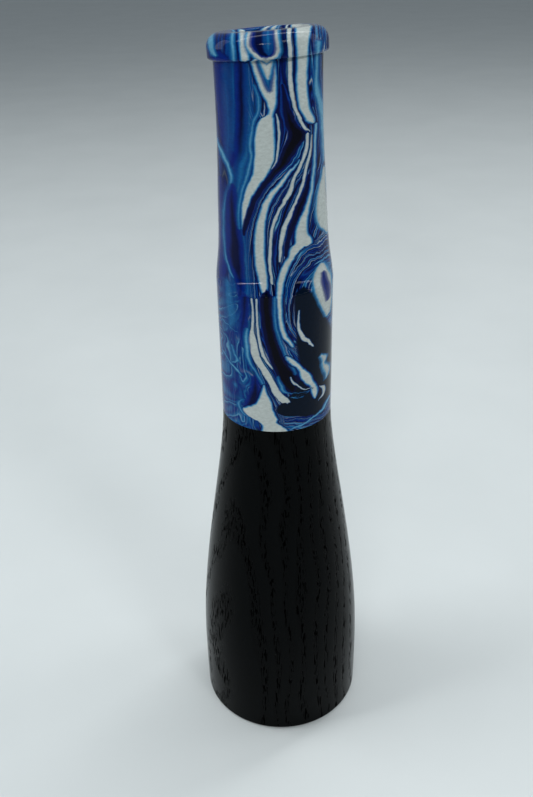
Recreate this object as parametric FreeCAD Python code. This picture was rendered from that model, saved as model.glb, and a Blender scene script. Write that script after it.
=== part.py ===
import FreeCAD, Part
import math
import os

from FreeCAD import Vector

# A duck call, in millimetres. The turned barrel stands on its mouth end, centred on the origin, and
# the insert points up along +Z. The scooped face of the stem and the reeds look towards -Y.

# Barrel
BARREL_LENGTH = 76.4
BORE_R = 7.9375
BARREL_BASE_R = 17.0
BASE_EDGE_R = 0.75
BARREL_BELLY = [(17.79, 6.8), (17.54, 22.4), (16.25, 36.6), (14.18, 51.4), (12.07, 65.2), (11.21, 72.5)]
MOUTH_DISH_R = 13.2
MOUTH_DISH_DEPTH = 2.4
MOUTH_LIP_ROUND = 1.0

# Insert: a straight neck, a stem with two scooped faces, and a beaded rim
NECK_R = 11.05
SHOULDER_Z = 104.5
STEM_TOP_Z = 145.0
STEM_PROFILE = [(10.84, 106.6), (10.52, 108.8), (10.14, 112.6), (9.86, 119.0), (9.47, 127.0), (9.27, 134.5)]
STEM_TOP_R = 9.30
# sideways lean of the hand-shaped stem for each millimetre above the shoulder
STEM_LEAN = -0.0143
SCOOP_DEPTH_R = 8.2
SCOOP_CROWN_R = 32.0
SCOOP_COVE_R = 2.8
SCOOP_TURN_DEG = 8.0
SCOOP_EDGE_ROUND = 0.25
RIM_BOTTOM_Z = 143.35
RIM_TOP_Z = 147.45
RIM_R = 10.2
RIM_LEAN = -0.6
RIM_SIDE_TILT_DEG = 3.2
RIM_FRONT_TILT_DEG = 3.0
RIM_UNDER_ROUND = 0.5
RIM_TOP_ROUND = 2.2
EXHAUST_TOP_R = 5.4
FLARE_TOP_R = 4.9
EXHAUST_LIP_ROUND = 0.8

# Tone board: a rod that is glued into the neck and carries the rings, the reeds and the wedge
SOCKET_TOP_Z = 95.0
ROD_R = 7.80
CHANNEL_R = 3.175
CHANNEL_END_Z = 24.0
TENON_BOTTOM_Z = 62.0
BOARD_TIP_Z = 11.0
BOARD_FLAT_Y = -1.0
BOARD_CURVE_START_Z = 46.0
BOARD_TIP_DROP = 1.6

# O-rings in the grooves of the tenon
RING_SECTION_R = 0.89
RING_CLEARANCE = 0.02
RING_HEIGHTS = {"o_ring_upper": 72.6, "o_ring_lower": 66.4}
GROOVE_HALF_HEIGHT = RING_SECTION_R + 0.12

# Reeds and the wedge that clamps them
MAIN_REED_THICKNESS = 0.36
SECOND_REED_THICKNESS = 0.25
REED_GAP = 0.08
REED_WIDTH = 13.4
REED_TOP_Z = TENON_BOTTOM_Z - 0.1
MAIN_REED_TIP_Z = BOARD_TIP_Z + 0.6
SECOND_REED_TIP_Z = BOARD_TIP_Z + 2.4
REED_CORNER_R = 2.0
WEDGE_LENGTH = 9.0
WEDGE_R = 7.55
WEDGE_NOSE_Y = -3.4

Z_AXIS = Vector(0, 0, 1)


def revolved(edges, axis_x=0.0):
    """Turns a closed outline in the XZ plane about a vertical axis."""
    face = Part.Face(Part.Wire(edges))
    return face.revolve(Vector(axis_x, 0, 0), Z_AXIS, 360)


def line(start, end):
    return Part.LineSegment(Vector(*start), Vector(*end)).toShape()


def arc(start, middle, end):
    return Part.Arc(Vector(*start), Vector(*middle), Vector(*end)).toShape()


def quarter(centre, radius, from_deg, to_deg):
    """An arc in the XZ plane, given by its centre and its two end angles."""
    points = []
    for angle in (from_deg, (from_deg + to_deg) / 2, to_deg):
        turn = math.radians(angle)
        points.append((centre[0] + radius * math.cos(turn), 0, centre[1] + radius * math.sin(turn)))
    return arc(*points)


def cylinder(radius, bottom_z, top_z):
    return Part.makeCylinder(radius, top_z - bottom_z, Vector(0, 0, bottom_z))


def belly_curve():
    """The barrel's outside, from the rounded foot to the joint with the neck."""
    foot = Vector(BARREL_BASE_R + BASE_EDGE_R, 0, BASE_EDGE_R)
    top = Vector(NECK_R, 0, BARREL_LENGTH)
    points = [foot] + [Vector(x, 0, z) for x, z in BARREL_BELLY] + [top]
    curve = Part.BSplineCurve()
    curve.interpolate(Points=points, InitialTangent=Vector(0, 0, 1), FinalTangent=Vector(0, 0, 1))
    return curve.toShape()


def barrel():
    lip_z = MOUTH_DISH_DEPTH + MOUTH_LIP_ROUND
    lip_start = (BORE_R + MOUTH_LIP_ROUND, 0, MOUTH_DISH_DEPTH)
    dish_middle = ((MOUTH_DISH_R + lip_start[0]) / 2 + 0.25, 0, 0.62 * MOUTH_DISH_DEPTH)
    return revolved([
        line((MOUTH_DISH_R, 0, 0), (BARREL_BASE_R, 0, 0)),
        quarter((BARREL_BASE_R, BASE_EDGE_R), BASE_EDGE_R, -90, 0),
        belly_curve(),
        line((NECK_R, 0, BARREL_LENGTH), (BORE_R, 0, BARREL_LENGTH)),
        line((BORE_R, 0, BARREL_LENGTH), (BORE_R, 0, lip_z)),
        quarter((lip_start[0], lip_z), MOUTH_LIP_ROUND, 180, 270),
        arc(lip_start, dish_middle, (MOUTH_DISH_R, 0, 0)),
    ])


def stem_blank():
    """The stem before its scoops are cut: turned round, then leant a little to one side."""
    bottom = Vector(NECK_R, 0, SHOULDER_Z)
    top = Vector(STEM_TOP_R, 0, STEM_TOP_Z)
    side = Part.BSplineCurve()
    side.interpolate([bottom] + [Vector(x, 0, z) for x, z in STEM_PROFILE] + [top])
    turned = revolved([
        line((0, 0, SHOULDER_Z), (NECK_R, 0, SHOULDER_Z)),
        side.toShape(),
        line((STEM_TOP_R, 0, STEM_TOP_Z), (0, 0, STEM_TOP_Z)),
        line((0, 0, STEM_TOP_Z), (0, 0, SHOULDER_Z)),
    ])
    lean = FreeCAD.Matrix()
    lean.A13 = STEM_LEAN
    lean.A14 = -STEM_LEAN * SHOULDER_Z
    return turned.transformGeometry(lean)


def scoop(turn_deg):
    """The space that one scooped face takes out of the stem: a shallow crown that ends in a cove."""
    axis_x = SCOOP_DEPTH_R - SCOOP_CROWN_R
    cove_z = SHOULDER_Z + SCOOP_COVE_R
    ledge_x = SCOOP_DEPTH_R + SCOOP_COVE_R
    outside_x = ledge_x + SCOOP_CROWN_R
    space_top = RIM_TOP_Z + SCOOP_COVE_R
    space = revolved([
        line((SCOOP_DEPTH_R, 0, space_top), (SCOOP_DEPTH_R, 0, cove_z)),
        quarter((ledge_x, cove_z), SCOOP_COVE_R, 180, 270),
        line((ledge_x, 0, SHOULDER_Z), (outside_x, 0, SHOULDER_Z)),
        line((outside_x, 0, SHOULDER_Z), (outside_x, 0, space_top)),
        line((outside_x, 0, space_top), (SCOOP_DEPTH_R, 0, space_top)),
    ], axis_x)
    space.rotate(Vector(0, 0, 0), Z_AXIS, turn_deg)
    return space


def rim():
    """The beaded rim, square to the stem as it leans."""
    top_x = RIM_R - RIM_TOP_ROUND
    under_x = RIM_R - RIM_UNDER_ROUND
    top_z = RIM_TOP_Z - RIM_TOP_ROUND
    under_z = RIM_BOTTOM_Z + RIM_UNDER_ROUND
    disc = revolved([
        line((0, 0, RIM_BOTTOM_Z), (under_x, 0, RIM_BOTTOM_Z)),
        quarter((under_x, under_z), RIM_UNDER_ROUND, -90, 0),
        line((RIM_R, 0, under_z), (RIM_R, 0, top_z)),
        quarter((top_x, top_z), RIM_TOP_ROUND, 0, 90),
        line((top_x, 0, RIM_TOP_Z), (0, 0, RIM_TOP_Z)),
        line((0, 0, RIM_TOP_Z), (0, 0, RIM_BOTTOM_Z)),
    ])
    return lean_rim(disc)


def lean_rim(shape):
    """Sets a shape that was made square to the axis at the rim's lean and tilt."""
    middle = Vector(0, 0, (RIM_BOTTOM_Z + RIM_TOP_Z) / 2)
    shape.rotate(middle, Vector(0, 1, 0), -RIM_SIDE_TILT_DEG)
    shape.rotate(middle, Vector(1, 0, 0), -RIM_FRONT_TILT_DEG)
    shape.translate(Vector(RIM_LEAN, 0, 0))
    return shape


def exhaust_mouth():
    """The wider last stretch of the exhaust, square to the rim, with a rounded lip."""
    lip_z = RIM_TOP_Z - EXHAUST_LIP_ROUND
    outer_x = EXHAUST_TOP_R + EXHAUST_LIP_ROUND
    top_z = RIM_TOP_Z + 1.0
    return lean_rim(revolved([
        line((0, 0, RIM_BOTTOM_Z), (EXHAUST_TOP_R, 0, RIM_BOTTOM_Z)),
        line((EXHAUST_TOP_R, 0, RIM_BOTTOM_Z), (EXHAUST_TOP_R, 0, lip_z)),
        quarter((outer_x, lip_z), EXHAUST_LIP_ROUND, 180, 90),
        line((outer_x, 0, RIM_TOP_Z), (outer_x, 0, top_z)),
        line((outer_x, 0, top_z), (0, 0, top_z)),
        line((0, 0, top_z), (0, 0, RIM_BOTTOM_Z)),
    ]))


def exhaust_flare():
    """The bore from the socket up to the rim, widening and following the stem's lean."""
    low_z = SOCKET_TOP_Z - 1.0
    high_z = RIM_BOTTOM_Z + 1.0
    return Part.makeLoft([
        Part.Wire(Part.Circle(Vector(0, 0, low_z), Z_AXIS, CHANNEL_R).toShape()),
        Part.Wire(Part.Circle(Vector(RIM_LEAN, 0, high_z), Z_AXIS, FLARE_TOP_R).toShape()),
    ], True, True)


def is_scoop_edge(edge):
    """True for the short edges where a scoop's cove breaks through the round of the stem and neck."""
    box = edge.BoundBox
    if box.ZMin < SHOULDER_Z - 0.05 or box.ZMax > SHOULDER_Z + SCOOP_COVE_R + 0.3:
        return False
    middle = edge.valueAt((edge.FirstParameter + edge.LastParameter) / 2)
    at_the_outside = math.hypot(middle.x, middle.y) > NECK_R - 0.45
    return at_the_outside and edge.Length < 12


def insert_body():
    stem = stem_blank()
    for turn_deg in (SCOOP_TURN_DEG - 90, SCOOP_TURN_DEG + 90):
        stem = stem.cut(scoop(turn_deg))
    neck = cylinder(NECK_R, BARREL_LENGTH, SHOULDER_Z)
    outside = neck.fuse([stem, rim()])
    socket = cylinder(ROD_R, BARREL_LENGTH - 1.0, SOCKET_TOP_Z)
    body = outside.cut([socket, exhaust_flare(), exhaust_mouth()])
    return body.makeFillet(SCOOP_EDGE_ROUND, [edge for edge in body.Edges if is_scoop_edge(edge)])


def board_space():
    """What is cut away in front of the tone board: a flat that curves off towards the tip."""
    front_y = -2 * ROD_R
    below_z = BOARD_TIP_Z - 1.0
    tip_y = BOARD_FLAT_Y + BOARD_TIP_DROP
    run = BOARD_CURVE_START_Z - BOARD_TIP_Z
    middle_y = BOARD_FLAT_Y + BOARD_TIP_DROP / 4
    curve = arc(
        (0, BOARD_FLAT_Y, BOARD_CURVE_START_Z),
        (0, middle_y, BOARD_CURVE_START_Z - run / 2),
        (0, tip_y, BOARD_TIP_Z),
    )
    outline = Part.Wire([
        line((0, front_y, TENON_BOTTOM_Z), (0, BOARD_FLAT_Y, TENON_BOTTOM_Z)),
        line((0, BOARD_FLAT_Y, TENON_BOTTOM_Z), (0, BOARD_FLAT_Y, BOARD_CURVE_START_Z)),
        curve,
        line((0, tip_y, BOARD_TIP_Z), (0, tip_y, below_z)),
        line((0, tip_y, below_z), (0, front_y, below_z)),
        line((0, front_y, below_z), (0, front_y, TENON_BOTTOM_Z)),
    ])
    face = Part.Face(outline)
    face.translate(Vector(-2 * ROD_R, 0, 0))
    return face.extrude(Vector(4 * ROD_R, 0, 0))


def ring_centre_r():
    return BORE_R - RING_CLEARANCE - RING_SECTION_R


def tone_board():
    rod = cylinder(ROD_R, BOARD_TIP_Z, SOCKET_TOP_Z)
    channel = cylinder(CHANNEL_R, CHANNEL_END_Z, SOCKET_TOP_Z + 1.0)
    channel_end = Part.makeSphere(CHANNEL_R, Vector(0, 0, CHANNEL_END_Z))
    board = rod.cut([board_space(), channel, channel_end])
    groove_r = ring_centre_r() - RING_SECTION_R - RING_CLEARANCE
    for height in RING_HEIGHTS.values():
        low_z = height - GROOVE_HALF_HEIGHT
        high_z = height + GROOVE_HALF_HEIGHT
        groove = cylinder(ROD_R + 1.0, low_z, high_z).cut(cylinder(groove_r, low_z, high_z))
        board = board.cut(groove)
    return board


def o_ring(height):
    return Part.makeTorus(ring_centre_r(), RING_SECTION_R, Vector(0, 0, height))


def reed(back_y, thickness, tip_z):
    """A flat strip with rounded corners at its free end."""
    corner = Vector(-REED_WIDTH / 2, back_y - thickness, tip_z)
    strip = Part.makeBox(REED_WIDTH, thickness, REED_TOP_Z - tip_z, corner)
    free_corners = [edge for edge in strip.Edges if is_free_corner(edge, tip_z)]
    return strip.makeFillet(REED_CORNER_R, free_corners)


def is_free_corner(edge, tip_z):
    box = edge.BoundBox
    return box.YLength > box.XLength and box.ZMax < tip_z + 0.01


def second_reed_back_y():
    return BOARD_FLAT_Y - MAIN_REED_THICKNESS - REED_GAP


def wedge():
    """A block that fills the front of the bore above the reeds and slopes down to a blunt nose."""
    low_z = TENON_BOTTOM_Z - WEDGE_LENGTH
    back_y = second_reed_back_y() - SECOND_REED_THICKNESS
    outline = Part.makePolygon([
        Vector(0, back_y, low_z),
        Vector(0, back_y, TENON_BOTTOM_Z),
        Vector(0, -WEDGE_R, TENON_BOTTOM_Z),
        Vector(0, WEDGE_NOSE_Y, low_z),
        Vector(0, back_y, low_z),
    ])
    prism = Part.Face(outline)
    prism.translate(Vector(-WEDGE_R, 0, 0))
    block = prism.extrude(Vector(2 * WEDGE_R, 0, 0))
    return block.common(cylinder(WEDGE_R, low_z, TENON_BOTTOM_Z))


def save(name, shape):
    solid = shape.Solids[0]
    solid.exportStep(os.path.join("parts", name + ".step"))
    print(name, len(shape.Solids), solid.isValid(), round(solid.Volume, 1))


def main():
    os.makedirs("parts", exist_ok=True)
    save("barrel", barrel())
    save("insert_body", insert_body())
    save("tone_board", tone_board())
    for name, height in RING_HEIGHTS.items():
        save(name, o_ring(height))
    save("main_reed", reed(BOARD_FLAT_Y, MAIN_REED_THICKNESS, MAIN_REED_TIP_Z))
    save("second_reed", reed(second_reed_back_y(), SECOND_REED_THICKNESS, SECOND_REED_TIP_Z))
    save("wedge", wedge())


main()
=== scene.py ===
import math

import bmesh
import bpy
from mathutils import Matrix, Vector


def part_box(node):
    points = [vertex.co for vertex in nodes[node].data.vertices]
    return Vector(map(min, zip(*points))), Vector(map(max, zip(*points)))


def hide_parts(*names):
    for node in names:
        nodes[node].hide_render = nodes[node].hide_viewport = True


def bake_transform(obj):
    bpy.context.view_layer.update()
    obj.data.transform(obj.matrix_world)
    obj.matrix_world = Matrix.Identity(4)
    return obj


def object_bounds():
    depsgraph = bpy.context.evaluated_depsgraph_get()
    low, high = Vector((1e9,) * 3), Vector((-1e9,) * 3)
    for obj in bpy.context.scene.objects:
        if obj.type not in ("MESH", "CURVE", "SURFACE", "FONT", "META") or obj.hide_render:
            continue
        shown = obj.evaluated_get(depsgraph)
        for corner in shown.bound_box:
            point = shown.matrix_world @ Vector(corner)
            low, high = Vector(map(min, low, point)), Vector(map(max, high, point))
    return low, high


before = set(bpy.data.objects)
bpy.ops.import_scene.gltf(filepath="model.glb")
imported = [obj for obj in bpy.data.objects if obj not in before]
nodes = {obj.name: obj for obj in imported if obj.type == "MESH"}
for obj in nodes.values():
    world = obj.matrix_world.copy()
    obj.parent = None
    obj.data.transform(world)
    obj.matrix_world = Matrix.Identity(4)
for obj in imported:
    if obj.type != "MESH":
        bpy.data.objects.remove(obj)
cad_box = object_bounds()

MM = 0.001
base_z = cad_box[0].z
neck_low, insert_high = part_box("insert_body")
NECK_Z = neck_low.z / MM
TOP_Z = insert_high.z / MM

# The reeds' rounded free corners, in metres, and how finely they and the strips are cut
REED_CORNER = 2.0 * MM
REED_CORNER_STEPS = 8
REED_STEPS = 60

# Colours of the resin, in linear light
WHITE = (0.44, 0.49, 0.475)
GREY = (0.33, 0.37, 0.38)
PALE_BLUE = (0.10, 0.30, 0.46)
LIGHT_BLUE = (0.010, 0.12, 0.29)
MID_BLUE = (0.002, 0.052, 0.20)
ROYAL = (0.001, 0.014, 0.15)
DEEP_ROYAL = (0.001, 0.006, 0.085)
NAVY = (0.0008, 0.003, 0.032)
BLACK = (0.0004, 0.0006, 0.005)
TEAL_BLACK = (0.001, 0.005, 0.014)


class Graph:
    """The nodes of one material, written as calls that return sockets."""

    def __init__(self, name):
        self.material = bpy.data.materials.new(name)
        self.material.use_nodes = True
        self.tree = self.material.node_tree
        self.tree.nodes.clear()
        output = self.tree.nodes.new("ShaderNodeOutputMaterial")
        self.shader = self.tree.nodes.new("ShaderNodeBsdfPrincipled")
        self.link(self.shader.outputs[0], output.inputs["Surface"])

    def link(self, source, target):
        self.tree.links.new(source, target)

    def feed(self, socket, value):
        if isinstance(value, bpy.types.NodeSocket):
            self.link(value, socket)
        elif value is not None:
            socket.default_value = (*value, 1.0) if socket.type == "RGBA" and len(value) == 3 else value

    def place(self):
        """The point on the piece in millimetres, in the frame of the CAD."""
        coords = self.tree.nodes.new("ShaderNodeTexCoord").outputs["Object"]
        return self.vector("SCALE", coords, scale=1 / MM)

    def vector(self, operation, a, b=None, c=None, scale=None):
        node = self.tree.nodes.new("ShaderNodeVectorMath")
        node.operation = operation
        self.feed(node.inputs[0], a)
        self.feed(node.inputs[1], b)
        self.feed(node.inputs[2], c)
        if scale is not None:
            self.feed(node.inputs["Scale"], scale)
        return node.outputs["Value" if operation == "LENGTH" else "Vector"]

    def split(self, vector):
        node = self.tree.nodes.new("ShaderNodeSeparateXYZ")
        self.feed(node.inputs[0], vector)
        return node.outputs[:]

    def join(self, x, y, z):
        node = self.tree.nodes.new("ShaderNodeCombineXYZ")
        for socket, value in zip(node.inputs, (x, y, z)):
            self.feed(socket, value)
        return node.outputs[0]

    def math(self, operation, a, b=None, c=None):
        node = self.tree.nodes.new("ShaderNodeMath")
        node.operation = operation
        for socket, value in zip(node.inputs, (a, b, c)):
            self.feed(socket, value)
        return node.outputs[0]

    def span(self, value, low, high, out_low=0.0, out_high=1.0, smooth=True):
        node = self.tree.nodes.new("ShaderNodeMapRange")
        node.interpolation_type = "SMOOTHSTEP" if smooth else "LINEAR"
        for socket, number in zip(node.inputs, (value, low, high, out_low, out_high)):
            self.feed(socket, number)
        return node.outputs[0]

    def noise(self, vector, scale, detail=2.0, roughness=0.5, distortion=0.0, colour=False):
        node = self.tree.nodes.new("ShaderNodeTexNoise")
        self.feed(node.inputs["Vector"], vector)
        self.feed(node.inputs["Scale"], scale)
        self.feed(node.inputs["Detail"], detail)
        self.feed(node.inputs["Roughness"], roughness)
        self.feed(node.inputs["Distortion"], distortion)
        return node.outputs["Color" if colour else "Fac"]

    def ramp(self, factor, stops):
        """Stops are (place, colour) or (place, colour, alpha). Returns the colour and the alpha."""
        node = self.tree.nodes.new("ShaderNodeValToRGB")
        elements = node.color_ramp.elements
        for index, stop in enumerate(stops):
            element = elements[index] if index < 2 else elements.new(stop[0])
            element.position = stop[0]
            element.color = (*stop[1], stop[2] if len(stop) > 2 else 1.0)
        self.feed(node.inputs[0], factor)
        return node.outputs

    def mix(self, factor, a, b, blend="MIX"):
        node = self.tree.nodes.new("ShaderNodeMix")
        node.data_type = "RGBA"
        node.blend_type = blend
        self.feed(node.inputs[0], factor)
        self.feed(node.inputs[6], a)
        self.feed(node.inputs[7], b)
        return node.outputs[2]

    def curve(self, factor, points):
        node = self.tree.nodes.new("ShaderNodeFloatCurve")
        line = node.mapping.curves[0]
        for index, (place, value) in enumerate(points):
            if index < 2:
                line.points[index].location = (place, value)
            else:
                line.points.new(place, value)
        node.mapping.update()
        self.feed(node.inputs["Value"], factor)
        return node.outputs[0]

    def bump(self, height, strength, distance):
        node = self.tree.nodes.new("ShaderNodeBump")
        node.inputs["Strength"].default_value = strength
        node.inputs["Distance"].default_value = distance
        self.link(height, node.inputs["Height"])
        self.link(node.outputs[0], self.shader.inputs["Normal"])

    def set(self, **values):
        for name, value in values.items():
            self.feed(self.shader.inputs[name.replace("_", " ")], value)


# How a streak's edge fades into what lies under it: (distance from the edge in mm, colour, alpha)
WHITE_EDGE = [(-0.25, WHITE, 1), (0.0, PALE_BLUE, 1), (0.12, LIGHT_BLUE, 1), (0.3, ROYAL, 1),
              (0.42, NAVY, 0.9), (0.7, NAVY, 0)]
SOFT_WHITE = [(-0.3, WHITE, 1), (0.0, GREY, 1), (0.15, PALE_BLUE, 1), (0.4, LIGHT_BLUE, 0.8),
              (0.8, LIGHT_BLUE, 0)]
THIN_WHITE = [(-0.15, WHITE, 1), (0.0, GREY, 1), (0.1, LIGHT_BLUE, 1), (0.2, NAVY, 0.9), (0.4, NAVY, 0)]
BLUE_EDGE = [(-0.5, LIGHT_BLUE, 1), (-0.25, MID_BLUE, 1), (0.15, MID_BLUE, 0.9), (0.6, ROYAL, 0)]
PALE_EDGE = [(-0.3, PALE_BLUE, 1), (0.0, LIGHT_BLUE, 1), (0.25, MID_BLUE, 0.8), (0.5, MID_BLUE, 0)]
BLACK_EDGE = [(-0.6, BLACK, 1), (-0.2, NAVY, 1), (0.1, NAVY, 1), (0.3, ROYAL, 0.9), (0.5, MID_BLUE, 0)]
ROYAL_EDGE = [(-0.7, ROYAL, 1), (-0.1, ROYAL, 1), (0.3, DEEP_ROYAL, 0.8), (0.8, DEEP_ROYAL, 0)]
HAZE_EDGE = [(-0.6, LIGHT_BLUE, 0.8), (-0.1, MID_BLUE, 0.8), (0.4, MID_BLUE, 0.4), (0.9, MID_BLUE, 0)]
NAVY_EDGE = [(-0.6, NAVY, 1), (0.0, ROYAL, 1), (0.35, ROYAL, 0.8), (0.7, ROYAL, 0)]
TEAL_EDGE = [(-0.8, TEAL_BLACK, 1), (-0.1, TEAL_BLACK, 1), (0.2, NAVY, 0.9), (0.5, NAVY, 0)]

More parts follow.
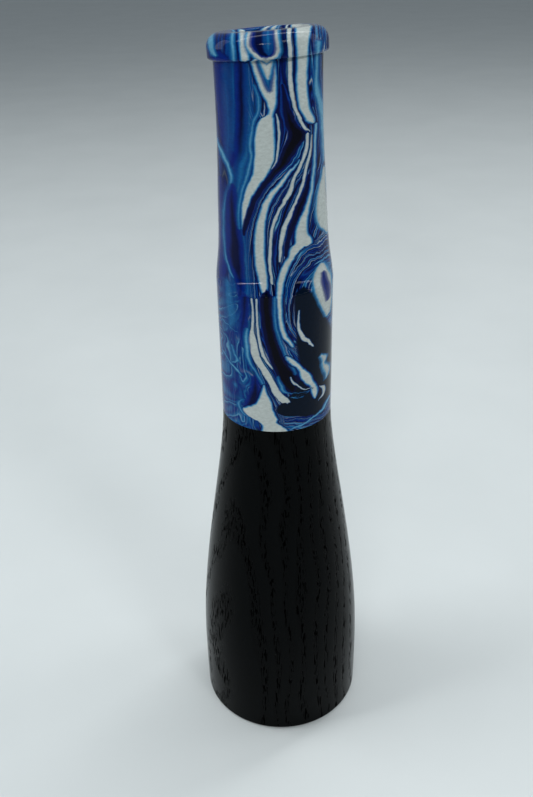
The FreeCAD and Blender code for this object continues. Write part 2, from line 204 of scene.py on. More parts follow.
# Streaks of the marbling: how the edge looks, then (height, middle, half width) down the streak, in mm
STREAKS = [
    # left of the stem
    (ROYAL_EDGE, [(144, -8.2, 1.3), (138, -8.4, 1.2), (133, -8.0, 1.0), (129, -7.4, 0.7),
                  (127, -7.0, 0.2)]),
    (HAZE_EDGE, [(144, -5.9, 0.2), (140, -6.2, 0.35), (136, -6.0, 0.4), (131.5, -6.5, 0.2),
                 (129.5, -6.4, 0.0)]),
    (NAVY_EDGE, [(144, -4.9, 0.5), (137, -4.9, 0.7), (131, -5.2, 0.7), (128, -5.6, 0.5),
                 (126, -6.0, 0.0)]),
    (HAZE_EDGE, [(144, -3.6, 0.3), (139, -3.6, 0.3), (134, -3.7, 0.5), (130, -4.2, 0.6),
                 (126, -5.4, 0.7), (123, -5.9, 0.5), (119, -6.0, 0.3), (115, -5.4, 0.3),
                 (108, -4.9, 0.4), (104, -5.0, 0.3)]),
    (HAZE_EDGE, [(143, -7.3, 0.1), (138, -7.5, 0.2), (133, -7.3, 0.25), (129.5, -7.6, 0.2),
                 (127, -8.2, 0.0)]),
    (HAZE_EDGE, [(120, -7.9, 0.0), (116, -8.2, 0.2), (111, -8.3, 0.3), (107, -7.6, 0.2),
                 (104, -7.6, 0.0)]),
    (ROYAL_EDGE, [(124, -9.4, 0.4), (119, -9.2, 0.7), (113, -9.2, 0.9), (108, -9.6, 0.8),
                  (105.5, -9.9, 0.2)]),
    (PALE_EDGE, [(131, -10.2, 0.3), (128, -8.4, 0.35), (125.5, -7.2, 0.3), (123.5, -7.3, 0.15),
                 (121, -8.3, 0.1), (112, -8.9, 0.1), (109, -8.4, 0.2), (107.5, -7.4, 0.2)]),
    (NAVY_EDGE, [(123.5, -6.9, 0.0), (121.5, -7.2, 0.5), (118, -7.2, 0.7), (114, -7.0, 1.0),
                 (110, -6.9, 1.1), (107, -6.2, 0.5), (104, -6.3, 0.3)]),
    # the middle of the stem: a funnel, an oval and a tail
    (WHITE_EDGE, [(143.5, -1.3, 1.9), (141, -0.9, 1.6), (138.5, -0.4, 1.0), (136.5, 0.0, 0.55),
                  (135.6, -0.1, 0.3), (134.6, -0.8, 0.95), (132.5, -1.3, 1.5), (130, -1.3, 1.6),
                  (128, -1.5, 1.55), (126, -2.1, 1.2), (123.5, -3.6, 0.9), (121, -4.7, 0.6),
                  (118, -5.2, 0.3), (116, -5.4, 0.0)]),
    (PALE_EDGE, [(140, -3.0, 0.0), (138, -2.2, 0.12), (136, -2.3, 0.15), (134, -3.1, 0.15),
                 (131, -3.7, 0.2), (128, -3.7, 0.2), (125.5, -4.4, 0.2), (122.5, -5.5, 0.15),
                 (119, -6.1, 0.1), (116, -6.0, 0.0)]),
    (THIN_WHITE, [(135.4, 0.7, 0.0), (133.6, 0.95, 0.1), (131, 1.0, 0.1), (128.6, 0.7, 0.1),
                  (126.6, -0.2, 0.0)]),
    (BLUE_EDGE, [(143.5, -0.9, 1.3), (142, -0.8, 1.0), (140, -0.5, 0.45), (138.8, -0.3, 0.0)]),
    (SOFT_WHITE, [(143.5, -0.8, 0.9), (142.5, -0.7, 0.6), (140.8, -0.5, 0.0)]),
    # round the rim
    (PALE_EDGE, [(148.5, -6.0, 0.3), (146, -6.0, 0.3), (143.9, -5.9, 0.25)]),
    (WHITE_EDGE, [(148.5, -4.3, 0.5), (146, -4.3, 0.6), (143.9, -4.1, 0.6)]),
    (SOFT_WHITE, [(148.5, -1.2, 2.1), (146.5, -1.3, 2.4), (145, -1.1, 2.2), (144.1, -0.9, 1.4),
                  (143.8, -0.8, 0.8)]),
    (NAVY_EDGE, [(148.5, -1.2, 1.3), (146.5, -1.3, 1.6), (145.2, -1.1, 1.4), (144.6, -0.9, 0.8),
                 (144.2, -0.8, 0.0)]),
    (BLUE_EDGE, [(148.5, -0.4, 0.4), (146.5, -0.4, 0.55), (145.4, -0.4, 0.4), (144.8, -0.4, 0.0)]),
    (PALE_EDGE, [(148.5, -9.4, 0.3), (146.5, -9.8, 0.6), (145, -9.6, 0.5), (144, -9.0, 0.3)]),
    # the dark arrowhead and the stripes that run down from it
    (BLACK_EDGE, [(140, 1.7, 0.0), (136, 2.4, 0.4), (133.5, 3.2, 0.9), (132, 4.1, 1.3), (130, 3.2, 1.1),
                  (128, 2.0, 0.9), (126, 0.4, 0.6), (124, -1.4, 0.4), (121, -3.3, 0.3),
                  (118, -4.5, 0.3), (115, -5.2, 0.0)]),
    (THIN_WHITE, [(148.5, 2.9, 0.3), (143, 3.0, 0.25), (139, 3.2, 0.3), (136.5, 3.7, 0.3),
                  (134.5, 4.5, 0.25), (133, 5.5, 0.2), (132.4, 6.2, 0.0)]),
    (WHITE_EDGE, [(148.5, 5.3, 1.3), (146, 5.0, 0.95), (143, 5.0, 0.8), (139, 4.9, 0.8),
                  (136.5, 5.2, 0.8), (135, 5.8, 0.7), (134, 6.4, 0.5), (133.2, 6.9, 0.1)]),
    (WHITE_EDGE, [(128, 4.6, 0.0), (126, 3.0, 0.2), (124, 1.3, 0.35), (121.5, -0.6, 0.45),
                  (119, -1.8, 0.6), (116, -2.4, 0.7), (112, -2.6, 0.8), (108, -2.3, 0.8),
                  (105.5, -1.9, 0.5), (104.4, -1.7, 0.0)]),
    (THIN_WHITE, [(132, 5.8, 0.15), (129.5, 5.6, 0.2), (127, 4.7, 0.2), (125, 3.7, 0.2),
                  (122.5, 2.8, 0.3), (119.5, 1.0, 0.2), (116.5, -0.1, 0.2), (112, -0.8, 0.2),
                  (106, -0.5, 0.15)]),
    (THIN_WHITE, [(131.5, 6.6, 0.1), (129, 6.3, 0.15), (126, 5.6, 0.2), (123.5, 5.0, 0.2),
                  (121, 4.0, 0.2), (118, 2.6, 0.3), (115, 1.5, 0.3), (110, 1.0, 0.1)]),
    (BLACK_EDGE, [(125, 6.3, 0.15), (122.5, 5.8, 0.4), (120, 4.8, 0.6), (117.5, 3.7, 0.5),
                  (115, 2.7, 0.3), (111, 2.0, 0.15)]),
    (WHITE_EDGE, [(133, 7.3, 0.1), (129, 7.1, 0.12), (125, 6.9, 0.12), (122, 6.5, 0.2),
                  (119.5, 5.9, 0.35), (117, 5.0, 0.7), (115, 4.9, 1.0), (113.2, 5.2, 1.4),
                  (112.2, 4.0, 1.2), (110.5, 2.9, 0.5), (108, 1.6, 0.6), (104.5, 0.8, 0.4),
                  (100, 1.0, 0.3), (97, 1.6, 0.35), (95, 2.8, 0.25), (94.2, 3.3, 0.0)]),
    (SOFT_WHITE, [(125, 8.9, 0.1), (122, 8.6, 0.6), (118.5, 8.6, 1.0), (116, 8.9, 0.9),
                  (114.3, 9.5, 0.4), (113.6, 9.8, 0.0)]),
    (PALE_EDGE, [(146, 7.6, 0.4), (141, 7.4, 0.3), (138, 7.6, 0.5), (135, 8.4, 0.5), (131, 8.7, 0.4),
                 (126, 8.8, 0.2)]),
    # left of the neck
    (HAZE_EDGE, [(106, -8.6, 0.6), (102, -8.3, 1.0), (98.5, -8.2, 0.8), (96.5, -8.6, 0.2)]),
    (PALE_EDGE, [(98, -10.4, 0.1), (97, -8.4, 0.15), (96.7, -7.2, 0.1), (96.5, -6.2, 0.0)]),
    (PALE_EDGE, [(93.5, -8.3, 0.1), (92, -7.8, 0.15), (90.5, -7.4, 0.25), (89.8, -8.4, 0.2),
                 (89.2, -9.4, 0.1)]),
    (PALE_EDGE, [(91, -10.2, 0.15), (89.5, -8.7, 0.25), (88.4, -7.4, 0.35), (87.6, -6.6, 0.1)]),
    (NAVY_EDGE, [(104, -5.4, 0.6), (100, -5.8, 0.4), (97, -6.2, 0.2), (94, -5.9, 0.1)]),
    (NAVY_EDGE, [(88, -4.0, 0.2), (86, -4.0, 0.6), (83.5, -4.4, 0.9), (81.5, -5.2, 0.7),
                 (80.3, -5.8, 0.2)]),
    # the bands of the neck
    (BLACK_EDGE, [(104.4, -1.5, 0.9), (100, -1.4, 0.95), (97, -1.0, 1.0), (94, -0.3, 1.1),
                  (91, 0.7, 1.3), (88, 2.1, 1.6), (86, 3.0, 1.4), (84.8, 3.8, 0.9), (84, 4.6, 0.1)]),
    (TEAL_EDGE, [(104.2, 5.2, 1.6), (101, 5.9, 2.2), (98, 6.6, 2.6), (94, 7.3, 3.2), (90, 7.6, 3.0),
                 (86, 7.4, 3.4), (83, 6.2, 4.6), (81, 5.4, 5.2), (79.6, 6.6, 3.4), (78.4, 8.6, 0.6)]),
    (PALE_EDGE, [(104.2, 0.0, 0.1), (100, 0.0, 0.12), (97, 0.5, 0.12), (94, 1.5, 0.12), (91, 2.6, 0.1),
                 (88.5, 3.6, 0.0)]),
    (THIN_WHITE, [(104, -4.2, 0.12), (100, -4.1, 0.15), (97.5, -4.3, 0.3), (95.5, -4.3, 0.7),
                  (93.5, -4.0, 0.75), (91.5, -3.2, 0.65), (89, -1.9, 0.6), (86.5, -0.6, 0.65),
                  (84.6, 0.4, 0.8), (83.4, 1.3, 0.9), (82.6, 2.0, 0.2)]),
    (THIN_WHITE, [(104, -3.3, 0.12), (98, -3.2, 0.15), (95, -2.9, 0.2), (93, -2.4, 0.25),
                  (91.5, -1.6, 0.2), (90, -0.7, 0.0)]),
    (PALE_EDGE, [(98, -5.2, 0.15), (94.5, -5.4, 0.35), (91.5, -5.0, 0.25), (88.5, -3.4, 0.15),
                 (86, -2.2, 0.1)]),
    (WHITE_EDGE, [(86.6, -2.4, 0.0), (85, -2.4, 0.4), (83.6, -2.4, 0.9), (82.2, -2.6, 1.5),
                  (81, -3.2, 2.4), (80, -3.5, 3.1), (79.2, -2.9, 2.9), (78.2, -1.5, 1.5),
                  (77.2, -0.8, 2.0), (76, -0.4, 2.8)]),
    (THIN_WHITE, [(101.3, 4.3, 0.0), (99, 4.2, 0.15), (97.5, 4.3, 0.25), (96.2, 4.9, 0.4),
                  (94.8, 5.8, 0.4), (93.6, 6.9, 0.1)]),
    (SOFT_WHITE, [(108.6, 8.6, 0.2), (107.5, 8.5, 1.0), (106, 8.6, 1.5), (104, 8.9, 1.4),
                  (102, 9.4, 1.1), (100, 9.7, 0.7), (98.2, 9.8, 0.2)]),
    (NAVY_EDGE, [(107, 8.9, 0.0), (105.5, 9.1, 0.25), (103.5, 9.6, 0.25), (101.5, 9.9, 0.0)]),
    (WHITE_EDGE, [(92.8, 1.8, 0.0), (91.6, 2.8, 0.5), (90.4, 3.7, 0.5), (89, 4.8, 0.5),
                  (87.6, 5.5, 0.9), (86.4, 6.2, 0.7), (85, 7.1, 0.5), (83.4, 7.4, 0.5),
                  (82.4, 7.4, 0.0)]),
    (THIN_WHITE, [(88, 2.6, 0.0), (86.8, 3.2, 0.15), (85.6, 4.4, 0.15), (84.9, 5.8, 0.1),
                  (84.6, 7.0, 0.0)]),
    (PALE_EDGE, [(88.4, 0.3, 0.0), (86.6, 0.9, 0.2), (85, 1.9, 0.2), (83.9, 3.2, 0.15),
                 (83.5, 4.8, 0.1), (84, 6.0, 0.0)]),
    (SOFT_WHITE, [(90.6, 8.6, 0.0), (89.7, 9.2, 0.25), (88.6, 9.0, 0.05), (87.5, 9.6, 0.3),
                  (86.2, 9.9, 0.2), (85, 9.7, 0.0)]),
    (THIN_WHITE, [(84.4, 8.4, 0.0), (83.2, 9.2, 0.2), (82, 9.1, 0.15), (81.2, 8.2, 0.0)]),
    (PALE_EDGE, [(82.6, -6.4, 0.0), (81.6, -7.2, 0.15), (80.4, -7.2, 0.2), (79.4, -6.4, 0.15),
                 (78.8, -5.2, 0.0)]),
    (PALE_EDGE, [(79.8, 10.4, 0.5), (78.6, 8.6, 0.5), (77.8, 6.4, 0.6), (77.2, 4.2, 0.5),
                 (76.6, 2.6, 0.2)]),
]
# How far from a streak's edge its colours reach, in mm
EDGE_LOW, EDGE_HIGH = -1.0, 1.0
# What a curve node's 0 to 1 stands for: a middle from -12 to 12 mm, and a half width from 0 to 6 mm
MIDDLE_REACH = 12.0
WIDTH_REACH = 6.0
# How much faster a streak fades past its ends than at its sides
END_TAPER = 1.5

# Height and middle of the main flow that the bands under the streaks follow, in mm
MAIN_FLOW = [(76.4, 7.0), (80, 6.0), (84, 4.0), (88, 2.2), (92, 0.8), (96, -0.5), (100, -1.1),
             (106, -2.1), (112, -2.4), (116, -2.0), (120, -0.8), (124, 1.6), (127, 3.7), (130, 5.2),
             (133, 5.6), (136, 4.9), (140, 4.5), (147.6, 4.5)]


def middle_at(graph, along, points):
    """The middle of a streak or of the flow, in mm, from points of (place along it, middle)."""
    scaled = [(place, (middle + MIDDLE_REACH) / (2 * MIDDLE_REACH)) for place, middle in points]
    return graph.math("MULTIPLY_ADD", graph.curve(along, scaled), 2 * MIDDLE_REACH, -MIDDLE_REACH)


def streak(graph, colour, across, height, edge, stations):
    """Lays one streak over the colour so far."""
    heights = [z for z, _, _ in stations]
    low, high = min(heights), max(heights)
    along = graph.span(height, low, high, smooth=False)
    upwards = [((z - low) / (high - low), middle, width) for z, middle, width in reversed(stations)]
    middle = middle_at(graph, along, [(place, middle) for place, middle, _ in upwards])
    width_curve = graph.curve(along, [(place, width / WIDTH_REACH) for place, _, width in upwards])
    width = graph.math("MULTIPLY", width_curve, WIDTH_REACH)
    offset = graph.math("ABSOLUTE", graph.math("SUBTRACT", across, middle))
    beyond = graph.math("SUBTRACT", offset, width)
    past_low = graph.math("SUBTRACT", low, height)
    past_high = graph.math("SUBTRACT", height, high)
    past_end = graph.math("MAXIMUM", graph.math("MAXIMUM", past_low, past_high), 0.0)
    distance = graph.math("MULTIPLY_ADD", past_end, END_TAPER, beyond)
    factor = graph.span(distance, EDGE_LOW, EDGE_HIGH, smooth=False)
    stops = [((d - EDGE_LOW) / (EDGE_HIGH - EDGE_LOW), c, a) for d, c, a in edge]
    layer = graph.ramp(factor, stops)
    return graph.mix(layer["Alpha"], colour, layer["Color"])


# How fine the wobble and the ripple are, and how far they push the pattern, in mm across, back and up
WOBBLE_SCALE = 0.35
WOBBLE_REACH = (0.5, 0, 1.4)
RIPPLE_SCALE = 1.3
RIPPLE_REACH = (0.12, 0, 0.5)
NOISE_MIDDLE = (0.5, 0.5, 0.5)
# Between these places behind the middle, the pattern comes to be let down and swayed, by so many mm
BACK_FADE = (1.0, 9.0)
BACK_DROP = -9.0
BACK_SWAY = 5.0
SWAY_SCALE = 0.09


def poured_place(graph, place):
    """Where a point lies in the pattern, in mm across and up."""
    x, y, z = graph.split(place)
    wobble = graph.noise(place, WOBBLE_SCALE, colour=True)
    ripple = graph.noise(place, RIPPLE_SCALE, colour=True)
    wobble = graph.vector("SUBTRACT", wobble, NOISE_MIDDLE)
    ripple = graph.vector("SUBTRACT", ripple, NOISE_MIDDLE)
    wobble_x, _, wobble_z = graph.split(graph.vector("MULTIPLY", wobble, WOBBLE_REACH))
    ripple_x, _, ripple_z = graph.split(graph.vector("MULTIPLY", ripple, RIPPLE_REACH))
    behind = graph.span(y, *BACK_FADE)
    swaying = graph.noise(graph.join(0.0, y, z), SWAY_SCALE, detail=1.0)
    sway = graph.span(swaying, 0.3, 0.7, -BACK_SWAY, BACK_SWAY)
    across = graph.math("ADD", x, graph.math("ADD", wobble_x, ripple_x))
    across = graph.math("MULTIPLY_ADD", behind, sway, across)
    height = graph.math("ADD", z, graph.math("ADD", wobble_z, ripple_z))
    height = graph.math("MULTIPLY_ADD", behind, BACK_DROP, height)
    return across, height


# In each pair of places, in mm, something starts at the first and is complete at the second.
# Across, the bands come to follow the main flow from the left, and partly from the right.
FLOW_LEFT = (-7.5, -3.5)
FLOW_RIGHT = (11.0, 6.5)
FLOW_RIGHT_LEAST = 0.3
# Round the middle of the white ring beside the shoulder the bands turn into flattened arcs
RING_MIDDLE = (9.0, 0.0, 102.0)
RING_FLATNESS = (1.0, 0.0, 0.75)
ARC_DENSITY = 1.6
ARCS_WITHIN = (9.0, 8.0)
ARCS_ACROSS = (0.8, 2.0)
# At the foot of the neck they lie down, and slope a little
FOOT_HEIGHT = (81.5, 80.3)
FOOT_ACROSS = (-0.5, 1.5)
LYING_DENSITY = 2.2
LYING_SLOPE = 0.35


def flow_level(graph, across, height):
    """A value that stays the same along each band of the ground."""
    along = graph.span(height, NECK_Z, TOP_Z, smooth=False)
    points = [((z - NECK_Z) / (TOP_Z - NECK_Z), middle) for z, middle in MAIN_FLOW]
    middle = middle_at(graph, along, points)
    from_left = graph.span(across, *FLOW_LEFT)
    from_right = graph.span(across, *FLOW_RIGHT, out_low=FLOW_RIGHT_LEAST)
    follow = graph.math("MULTIPLY", from_left, from_right)
    level = graph.math("SUBTRACT", across, graph.math("MULTIPLY", middle, follow))
    from_ring = graph.vector("SUBTRACT", graph.join(across, 0.0, height), RING_MIDDLE)
    radius = graph.vector("LENGTH", graph.vector("MULTIPLY", from_ring, RING_FLATNESS))
    arcs = graph.math("MULTIPLY", radius, ARC_DENSITY)
    swirl = graph.math("MULTIPLY", graph.span(radius, *ARCS_WITHIN), graph.span(across, *ARCS_ACROSS))
    level = graph.math("MULTIPLY_ADD", swirl, graph.math("SUBTRACT", arcs, level), level)
    sloping = graph.math("MULTIPLY", across, LYING_SLOPE)
    lying = graph.math("MULTIPLY_ADD", height, LYING_DENSITY, sloping)
    foot = graph.math("MULTIPLY", graph.span(height, *FOOT_HEIGHT), graph.span(across, *FOOT_ACROSS))
    return graph.math("MULTIPLY_ADD", foot, graph.math("SUBTRACT", lying, level), level)


# The colours across one band: of the ground, and at the left of the stem and of the neck
GROUND = [
    (0.0, MID_BLUE), (0.08, LIGHT_BLUE), (0.13, PALE_BLUE), (0.18, ROYAL), (0.3, NAVY), (0.4, ROYAL),
    (0.46, MID_BLUE), (0.5, ROYAL), (0.62, BLACK), (0.72, NAVY), (0.78, MID_BLUE), (0.84, GREY),
    (0.88, LIGHT_BLUE), (0.93, ROYAL), (1.0, MID_BLUE),
]
STEM_LEFT = [(0.0, DEEP_ROYAL), (0.3, ROYAL), (0.5, MID_BLUE), (0.62, ROYAL), (0.8, NAVY), (1.0, DEEP_ROYAL)]
NECK_LEFT = [
    (0.0, MID_BLUE), (0.2, LIGHT_BLUE), (0.28, MID_BLUE), (0.42, ROYAL), (0.55, MID_BLUE),
    (0.7, LIGHT_BLUE), (0.76, PALE_BLUE), (0.82, MID_BLUE), (0.92, ROYAL), (1.0, MID_BLUE),
]
# How much of the left side's own colours shows, and where they come in, in mm across and up
LEFT_COVER = 0.85
LEFT_ACROSS = (-3.2, -5.5)
LEFT_STEM_HEIGHT = (108.0, 114.0)
LEFT_NECK_HEIGHT = (108.0, 104.0)
# How fast the noise behind the bands or curls changes, across and up, and how many its range holds
BAND_RATE = (0.42, 0.035)
BAND_COUNT = 6.5
CURL_RATE = (0.2, 0.1)
CURL_COUNT = 5.0
CURL_DISTORTION = 1.2


def banded(graph, across, height, rate, count, distortion=0.0):
    """Values from 0 to 1 that start again at each band."""
    across = graph.math("MULTIPLY", across, rate[0])
    height = graph.math("MULTIPLY", height, rate[1])
    flow = graph.noise(graph.join(across, 0.0, height), 1.0, detail=1.0, distortion=distortion)
    return graph.math("FRACT", graph.math("MULTIPLY", flow, count))


def ground(graph, across, height):
    """What lies under the streaks: long bands, royal blue at the left of the stem and curled on the neck."""
    bands = banded(graph, flow_level(graph, across, height), height, BAND_RATE, BAND_COUNT)
    colour = graph.ramp(bands, GROUND)["Color"]
    left = graph.span(across, *LEFT_ACROSS)
    on_stem = graph.math("MULTIPLY", graph.span(height, *LEFT_STEM_HEIGHT), LEFT_COVER)
    stem_left = graph.ramp(bands, STEM_LEFT)["Color"]
    colour = graph.mix(graph.math("MULTIPLY", left, on_stem), colour, stem_left)
    curls = banded(graph, across, height, CURL_RATE, CURL_COUNT, CURL_DISTORTION)
    neck_left = graph.ramp(curls, NECK_LEFT)["Color"]
    on_neck = graph.math("MULTIPLY", left, graph.span(height, *LEFT_NECK_HEIGHT))
    return graph.mix(graph.math("MULTIPLY", on_neck, LEFT_COVER), colour, neck_left)


# How fine the resin's mottling is along x, y and z, and its darkest shade
MOTTLE_RATE = (1.2, 1.2, 2.6)
MOTTLE_DARKEST = 0.72


def marbled_resin():
    graph = Graph("marbled_resin")
    place = graph.place()
    across, height = poured_place(graph, place)
    colour = ground(graph, across, height)
    for edge, stations in STREAKS:
        colour = streak(graph, colour, across, height, edge, stations)
    mottle = graph.noise(graph.vector("MULTIPLY", place, MOTTLE_RATE), 1.0, detail=4.0, roughness=0.7)
    shade = graph.span(mottle, 0.25, 0.65, out_low=MOTTLE_DARKEST, smooth=False)
    colour = graph.mix(1.0, colour, graph.join(shade, shade, shade), "MULTIPLY")
    graph.set(Base_Color=colour, Roughness=0.06, IOR=1.17)
    graph.bump(graph.noise(place, 0.5), strength=0.04, distance=0.0004)
    return graph.material


# How the growth rings cross the barrel, and how much a slow noise bends them, in mm
RING_ACROSS = 0.75
RING_BACK = 0.66
RING_BEND = 14.0
RING_BEND_RATE = (0.05, 0.05, 0.02)
RINGS_PER_MM = 0.33
# The pores lie in the early part of each ring, which fades in and out at these shares of the ring
EARLY_BEGINS = (0.0, 0.12)
EARLY_ENDS = (0.55, 0.3)
# How fine the pores and the fibres are along x, y and z, and how faint a pore outside the rows is
PORE_RATE = (3.4, 3.4, 0.42)
PORE_EDGE = (0.53, 0.58)
PORE_STRAY = 0.04
FIBRE_RATE = (6.0, 6.0, 0.12)
BARE_PORE = (0.0002, 0.0002, 0.0002)
WOOD_TONES = [
    (0.25, (0.0001, 0.0003, 0.0004)), (0.5, (0.0004, 0.0008, 0.001)), (0.75, (0.0014, 0.002, 0.0022)),
]


def black_wood():
    """Dyed wood under lacquer, with rows of open pores in the early part of each ring."""
    graph = Graph("black_dyed_wood")
    place = graph.place()
    x, y, _ = graph.split(place)
    slow = graph.noise(graph.vector("MULTIPLY", place, RING_BEND_RATE), 1.0)
    straight = graph.math("MULTIPLY_ADD", x, RING_ACROSS, graph.math("MULTIPLY", y, RING_BACK))
    rings_at = graph.math("ADD", straight, graph.math("MULTIPLY", slow, RING_BEND))
    ring = graph.math("FRACT", graph.math("MULTIPLY", rings_at, RINGS_PER_MM))
    early = graph.math("MULTIPLY", graph.span(ring, *EARLY_BEGINS), graph.span(ring, *EARLY_ENDS))
    pores = graph.noise(graph.vector("MULTIPLY", place, PORE_RATE), 1.0, detail=1.0)
    in_row = graph.math("MULTIPLY_ADD", early, 1 - PORE_STRAY, PORE_STRAY)
    pore = graph.math("MULTIPLY", graph.span(pores, *PORE_EDGE), in_row)
    fibre = graph.noise(graph.vector("MULTIPLY", place, FIBRE_RATE), 1.0, detail=3.0, roughness=0.6)
    grain = graph.math("MULTIPLY_ADD", fibre, 0.6, graph.math("MULTIPLY", ring, 0.25))
    tone = graph.ramp(grain, WOOD_TONES)["Color"]
    colour = graph.mix(pore, tone, BARE_PORE)
    shine = graph.math("MULTIPLY_ADD", pore, -0.45, 0.5)
    rough = graph.math("MULTIPLY_ADD", fibre, 0.1, graph.math("MULTIPLY_ADD", pore, 0.35, 0.14))
    graph.set(Base_Color=colour, Roughness=rough, IOR=1.13, Specular_IOR_Level=shine)
    height = graph.math("SUBTRACT", graph.math("MULTIPLY", fibre, 0.12), pore)
    graph.bump(height, strength=0.5, distance=0.00012)
    return graph.material


def plain_material(name, low, high, roughness, grain, bump_depth):
    """A dark, finely mottled material, from its darkest to its lightest tone."""
    graph = Graph(name)
    place = graph.place()
    speck = graph.noise(place, grain, detail=4.0, roughness=0.6)
    colour = graph.ramp(speck, [(0.3, low), (0.7, high)])["Color"]
    graph.set(Base_Color=colour, Roughness=graph.math("MULTIPLY_ADD", speck, 0.15, roughness), IOR=1.5)
    graph.bump(speck, strength=0.3, distance=bump_depth)
    return graph.material


CORK_TONES = [(0.25, (0.12, 0.06, 0.025)), (0.45, (0.42, 0.25, 0.12)), (0.75, (0.55, 0.36, 0.19))]


def cork():
    graph = Graph("composition_cork")
    place = graph.place()
    cells = graph.tree.nodes.new("ShaderNodeTexVoronoi")
    graph.feed(cells.inputs["Vector"], place)
    graph.feed(cells.inputs["Scale"], 1.1)
    tint = graph.noise(place, 2.5, detail=4.0, roughness=0.65)
    tone = graph.math("MULTIPLY_ADD", tint, 0.7, graph.math("MULTIPLY", cells.outputs["Distance"], 0.4))
    graph.set(Base_Color=graph.ramp(tone, CORK_TONES)["Color"], Roughness=0.8)
    graph.bump(tint, strength=0.6, distance=0.0002)
    return graph.material


FILM_TONES = [(0.3, (0.62, 0.63, 0.58)), (0.7, (0.75, 0.76, 0.72))]


def reed_film():
    graph = Graph("reed_film")
    place = graph.place()
    haze = graph.noise(place, 0.4, detail=3.0, roughness=0.6)
    colour = graph.ramp(haze, FILM_TONES)["Color"]
    graph.set(Base_Color=colour, Roughness=graph.math("MULTIPLY_ADD", haze, 0.2, 0.25), IOR=1.6)
    graph.bump(haze, strength=0.1, distance=0.00005)
    return graph.material


def dress(node_names, material):
    for name in node_names:
        mesh = nodes[name].data
        mesh.materials.clear()
        mesh.materials.append(material)


def reed(node, material):
    """A flat, straight strip in place of the CAD reed, with its lower corners rounded."""
    low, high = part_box(node)
    middle, half = (low.x + high.x) / 2, (high.x - low.x) / 2
    rows = []
    for step in range(REED_CORNER_STEPS + 1):
        angle = math.radians(90 * step / REED_CORNER_STEPS)
        rows.append((low.z + REED_CORNER * (1 - math.cos(angle)), half - REED_CORNER * (1 - math.sin(angle))))
    straight = high.z - low.z - REED_CORNER
    rows += [(low.z + REED_CORNER + straight * step / REED_STEPS, half) for step in range(1, REED_STEPS + 1)]
    corners = ((-1, high.y), (1, high.y), (1, low.y), (-1, low.y))
    vertices = [(middle + side * reach, y, z) for z, reach in rows for side, y in corners]
    last = 4 * (len(rows) - 1)
    faces = [(0, 1, 2, 3), (last + 3, last + 2, last + 1, last)]
    for start in range(0, last, 4):
        for corner in range(4):
            a, b = start + corner, start + (corner + 1) % 4
            faces.append((a, a + 4, b + 4, b))
    mesh = bpy.data.meshes.new(node + "_film")
    mesh.from_pydata(vertices, [], faces)
    shape = bmesh.new()
    shape.from_mesh(mesh)
    bmesh.ops.recalc_face_normals(shape, faces=shape.faces)
    shape.to_mesh(mesh)
    shape.free()
    mesh.materials.append(material)
    thing = bpy.data.objects.new(node + "_film", mesh)
    bpy.context.scene.collection.objects.link(thing)
    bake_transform(thing)
    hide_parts(node)


# How far the floor reaches each way, and how far it lies below the part, in metres
FLOOR_REACH = 3.0
FLOOR_GAP = 0.00005
FLOOR_TONES = [(0.3, (0.60, 0.65, 0.655)), (0.7, (0.63, 0.68, 0.685))]


def floor():
    mesh = bpy.data.meshes.new("floor")
    corners = ((-1, -1), (1, -1), (1, 1), (-1, 1))
    vertices = [(x * FLOOR_REACH, y * FLOOR_REACH, base_z - FLOOR_GAP) for x, y in corners]
    mesh.from_pydata(vertices, [], [(0, 1, 2, 3)])
    thing = bpy.data.objects.new("floor", mesh)
    bpy.context.scene.collection.objects.link(thing)
    graph = Graph("floor_paper")
    haze = graph.noise(graph.place(), 0.02, detail=3.0)
    graph.set(Base_Color=graph.ramp(haze, FLOOR_TONES)["Color"], Roughness=0.6)
    mesh.materials.append(graph.material)


SKY_COLOUR = (0.80, 0.88, 0.95, 1)
SKY_STRENGTH = 0.26
# Name, place, the height on the part that it points at, width and depth, all in metres, and watts
LIGHTS = [
    ("top_strip", (-0.05, 0.10, 0.72), 0.10, (1.3, 0.10), 3.9),
    ("left_soft", (-0.7, 0.15, 0.35), 0.08, (0.3, 0.6), 1.25),
    ("right_soft", (0.7, 0.15, 0.40), 0.08, (0.3, 0.6), 1.25),
    ("front_strip", (-0.10, -0.85, 0.52), 0.10, (0.34, 0.03), 3.0),
    ("right_window", (0.50, -0.66, 0.66), 0.10, (0.22, 0.22), 1.6),
]


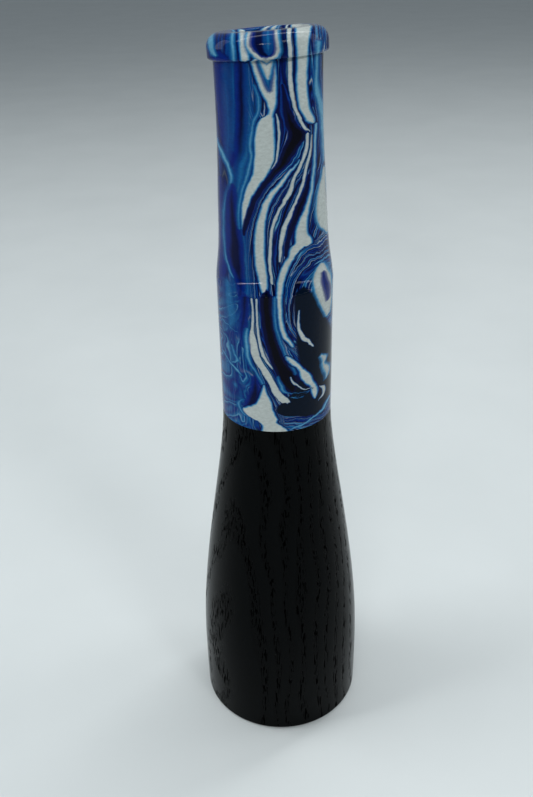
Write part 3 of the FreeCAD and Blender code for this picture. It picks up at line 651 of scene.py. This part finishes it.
def area_light(name, place, aim_height, size, power):
    data = bpy.data.lights.new(name, "AREA")
    data.shape = "RECTANGLE"
    data.size, data.size_y = size
    data.energy = power
    thing = bpy.data.objects.new(name, data)
    bpy.context.scene.collection.objects.link(thing)
    thing.location = place
    towards = Vector((0, 0, aim_height)) - Vector(place)
    thing.rotation_euler = towards.to_track_quat("-Z", "Y").to_euler()


def studio():
    world = bpy.data.worlds.new("studio")
    world.use_nodes = True
    background = world.node_tree.nodes["Background"]
    background.inputs["Color"].default_value = SKY_COLOUR
    background.inputs["Strength"].default_value = SKY_STRENGTH
    bpy.context.scene.world = world
    for light in LIGHTS:
        area_light(*light)


# The camera's place in metres, its turns, and its lens in millimetres
CAMERA_PLACE = (0.0, -0.1515, 0.1630)
CAMERA_DOWN = math.radians(29.40)
CAMERA_ROLL = math.radians(-1.325)
CAMERA_YAW = math.radians(-0.79)
SENSOR_WIDTH = 36.0
FOCAL_LENGTH = 38.4


def camera():
    data = bpy.data.cameras.new("camera")
    data.sensor_width = SENSOR_WIDTH
    data.lens = FOCAL_LENGTH
    data.clip_start = 0.01
    thing = bpy.data.objects.new("camera", data)
    bpy.context.scene.collection.objects.link(thing)
    down, roll, yaw = CAMERA_DOWN, CAMERA_ROLL, CAMERA_YAW
    forward = Vector((math.sin(yaw) * math.cos(down), math.cos(yaw) * math.cos(down), -math.sin(down)))
    right = Vector((math.cos(yaw), -math.sin(yaw), 0.0))
    up = right.cross(forward)
    side = right * math.cos(roll) + up * math.sin(roll)
    top = up * math.cos(roll) - right * math.sin(roll)
    axes = Matrix((side, top, -forward)).transposed().to_4x4()
    thing.matrix_world = Matrix.Translation(CAMERA_PLACE) @ axes
    bpy.context.scene.camera = thing


dress(["barrel"], black_wood())
dress(["insert_body"], marbled_resin())
acrylic = plain_material("black_acrylic", (0.008, 0.008, 0.009), (0.014, 0.014, 0.016),
                         roughness=0.15, grain=0.6, bump_depth=0.00003)
dress(["tone_board"], acrylic)
rubber = plain_material("nitrile_rubber", (0.01, 0.01, 0.01), (0.02, 0.02, 0.02),
                        roughness=0.5, grain=2.0, bump_depth=0.00005)
dress(["o_ring_upper", "o_ring_lower"], rubber)
film = reed_film()
reed("main_reed", film)
reed("second_reed", film)
dress(["wedge"], cork())
floor()
studio()
camera()
bpy.context.scene.view_settings.view_transform = "Standard"
